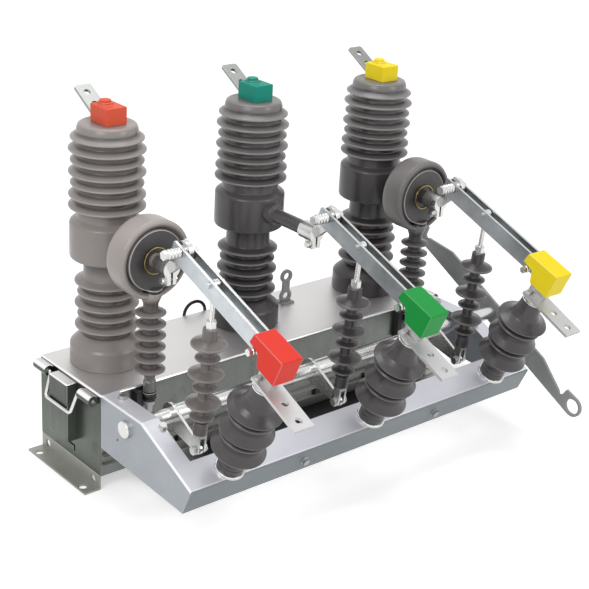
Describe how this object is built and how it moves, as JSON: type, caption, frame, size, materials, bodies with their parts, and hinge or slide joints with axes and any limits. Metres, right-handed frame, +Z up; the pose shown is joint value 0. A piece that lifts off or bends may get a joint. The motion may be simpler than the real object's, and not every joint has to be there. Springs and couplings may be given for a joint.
{
  "type": "outdoor vacuum circuit breaker with disconnector",
  "caption": "Outdoor vacuum circuit breaker: upright insulated poles on a steel box, current transformers and a folded front frame with hinged disconnector blades and operating lever",
  "frame": {"origin": "midway between the four foot holes, on the underside of the feet", "axes": "+X along the row of poles towards the operating lever, -Y the disconnector side, +Z up along the poles"},
  "size_m": [1.018, 0.6797, 0.7272],
  "materials": {
    "stainless": "bright rolled stainless sheet",
    "frame_coat": "silver-grey powder coat",
    "zinc": "zinc plated",
    "lever_paint": "dark grey paint",
    "plated_copper": "tin-plated copper",
    "silicone": "grey silicone rubber",
    "silicone_dark": "dark silicone rubber",
    "cover_red": "satin moulded plastic",
    "cover_green": "satin moulded plastic",
    "cover_yellow": "satin moulded plastic",
    "cap_orange": "satin moulded plastic",
    "cap_teal": "satin moulded plastic",
    "ceramic": "glazed ceramic",
    "glass_fibre": "glass-fibre rod",
    "black_plastic": "moulded black plastic",
    "black_steel": "black paint",
    "mechanism_steel": "plain machined steel"
  },
  "bodies": {
    "base": {"mechanism_housing": "stainless", "housing_base_plate": "stainless", "mounting_foot_left": "stainless", "mounting_foot_right": "stainless", "end_cover": "stainless", "handle_lugs": "stainless", "disconnector_frame": "frame_coat", "frame_screws": "zinc", "shaft_bearings": "zinc", "spring_mechanism": "mechanism_steel", "ct_glands": "zinc", "terminal_blocks": "black_plastic", "lifting_plate": "zinc", "rear_loop": "black_steel", "current_transformer_a": "silicone", "current_transformer_c": "silicone", "pole_a": "silicone", "pole_b": "silicone", "pole_c": "silicone", "vacuum_interrupter_a": "ceramic", "vacuum_interrupter_b": "ceramic", "vacuum_interrupter_c": "ceramic", "terminal_clamp_a": "plated_copper", "terminal_clamp_b": "plated_copper", "terminal_clamp_c": "plated_copper", "post_insulator_a": "silicone", "post_insulator_b": "silicone", "post_insulator_c": "silicone", "post_fittings_a": "zinc", "post_fittings_b": "zinc", "post_fittings_c": "zinc", "front_terminal_a": "plated_copper", "front_terminal_b": "plated_copper", "front_terminal_c": "plated_copper", "top_terminal_a": "plated_copper", "top_terminal_b": "plated_copper", "top_terminal_c": "plated_copper", "top_cover_a": "cap_orange", "top_cover_b": "cap_teal", "top_cover_c": "cover_yellow"},
    "switch_shaft": {"disconnector_shaft": "zinc", "crank_a": "zinc", "crank_b": "zinc", "crank_c": "zinc", "operating_lever": "lever_paint"},
    "rod_a": {"pull_rod_a": "silicone_dark", "rod_fittings_a": "zinc"},
    "knife_a": {"blade_a": "plated_copper", "blade_bolts_a": "zinc", "blade_cover_a": "cover_red"},
    "lift_a": {"drive_rod_a": "glass_fibre"},
    "rod_b": {"pull_rod_b": "silicone_dark", "rod_fittings_b": "zinc"},
    "knife_b": {"blade_b": "plated_copper", "blade_bolts_b": "zinc", "blade_cover_b": "cover_green"},
    "lift_b": {"drive_rod_b": "glass_fibre"},
    "rod_c": {"pull_rod_c": "silicone_dark", "rod_fittings_c": "zinc"},
    "knife_c": {"blade_c": "plated_copper", "blade_bolts_c": "zinc", "blade_cover_c": "cover_yellow"},
    "lift_c": {"drive_rod_c": "glass_fibre"},
    "bail_left": {"handle_left": "stainless"},
    "bail_right": {"handle_right": "stainless"},
    "breaker_shaft": {"main_shaft": "mechanism_steel"}
  },
  "joints": [
    {"name": "disconnector_open", "type": "hinge", "parent": "base", "child": "switch_shaft", "pos_m": [0, -0.195, 0.173], "axis": [-1, 0, 0], "range_deg": [0, 55]},
    {"name": "rod_a_foot", "type": "hinge", "parent": "switch_shaft", "child": "rod_a", "pos_m": [-0.34, -0.28183, 0.1414], "axis": [-1, 0, 0], "range_deg": [-55, 0]},
    {"name": "knife_a_pivot", "type": "hinge", "parent": "base", "child": "knife_a", "pos_m": [-0.34, -0.226, 0.508], "axis": [-1, 0, 0], "range_deg": [0, 55]},
    {"name": "rod_b_foot", "type": "hinge", "parent": "switch_shaft", "child": "rod_b", "pos_m": [0, -0.28183, 0.1414], "axis": [-1, 0, 0], "range_deg": [-55, 0]},
    {"name": "knife_b_pivot", "type": "hinge", "parent": "base", "child": "knife_b", "pos_m": [0, -0.226, 0.508], "axis": [-1, 0, 0], "range_deg": [0, 55]},
    {"name": "rod_c_foot", "type": "hinge", "parent": "switch_shaft", "child": "rod_c", "pos_m": [0.34, -0.28183, 0.1414], "axis": [-1, 0, 0], "range_deg": [-55, 0]},
    {"name": "knife_c_pivot", "type": "hinge", "parent": "base", "child": "knife_c", "pos_m": [0.34, -0.226, 0.508], "axis": [-1, 0, 0], "range_deg": [0, 55]},
    {"name": "bail_left_swing", "type": "hinge", "parent": "base", "child": "bail_left", "pos_m": [-0.4485, 0, 0.19], "axis": [0, 1, 0], "range_deg": [0, 120]},
    {"name": "bail_right_swing", "type": "hinge", "parent": "base", "child": "bail_right", "pos_m": [0.4485, 0, 0.19], "axis": [0, -1, 0], "range_deg": [0, 120]},
    {"name": "breaker_close", "type": "hinge", "parent": "base", "child": "breaker_shaft", "pos_m": [0, 0.062, 0.1], "axis": [-1, 0, 0], "range_deg": [0, 13]},
    {"name": "lift_a_stroke", "type": "slide", "parent": "base", "child": "lift_a", "axis": [0, 0, 1], "range_m": [0, 0.0091]},
    {"name": "lift_b_stroke", "type": "slide", "parent": "base", "child": "lift_b", "axis": [0, 0, 1], "range_m": [0, 0.0091]},
    {"name": "lift_c_stroke", "type": "slide", "parent": "base", "child": "lift_c", "axis": [0, 0, 1], "range_m": [0, 0.0091]}
  ],
  "couplings": [
    {"joint": "rod_a_foot", "follows": "disconnector_open", "ratio": -1},
    {"joint": "knife_a_pivot", "follows": "disconnector_open", "ratio": 1},
    {"joint": "rod_b_foot", "follows": "disconnector_open", "ratio": -1},
    {"joint": "knife_b_pivot", "follows": "disconnector_open", "ratio": 1},
    {"joint": "rod_c_foot", "follows": "disconnector_open", "ratio": -1},
    {"joint": "knife_c_pivot", "follows": "disconnector_open", "ratio": 1},
    {"joint": "lift_a_stroke", "follows": "breaker_close", "m_per_rad": 0.04},
    {"joint": "lift_b_stroke", "follows": "breaker_close", "m_per_rad": 0.04},
    {"joint": "lift_c_stroke", "follows": "breaker_close", "m_per_rad": 0.04}
  ]
}
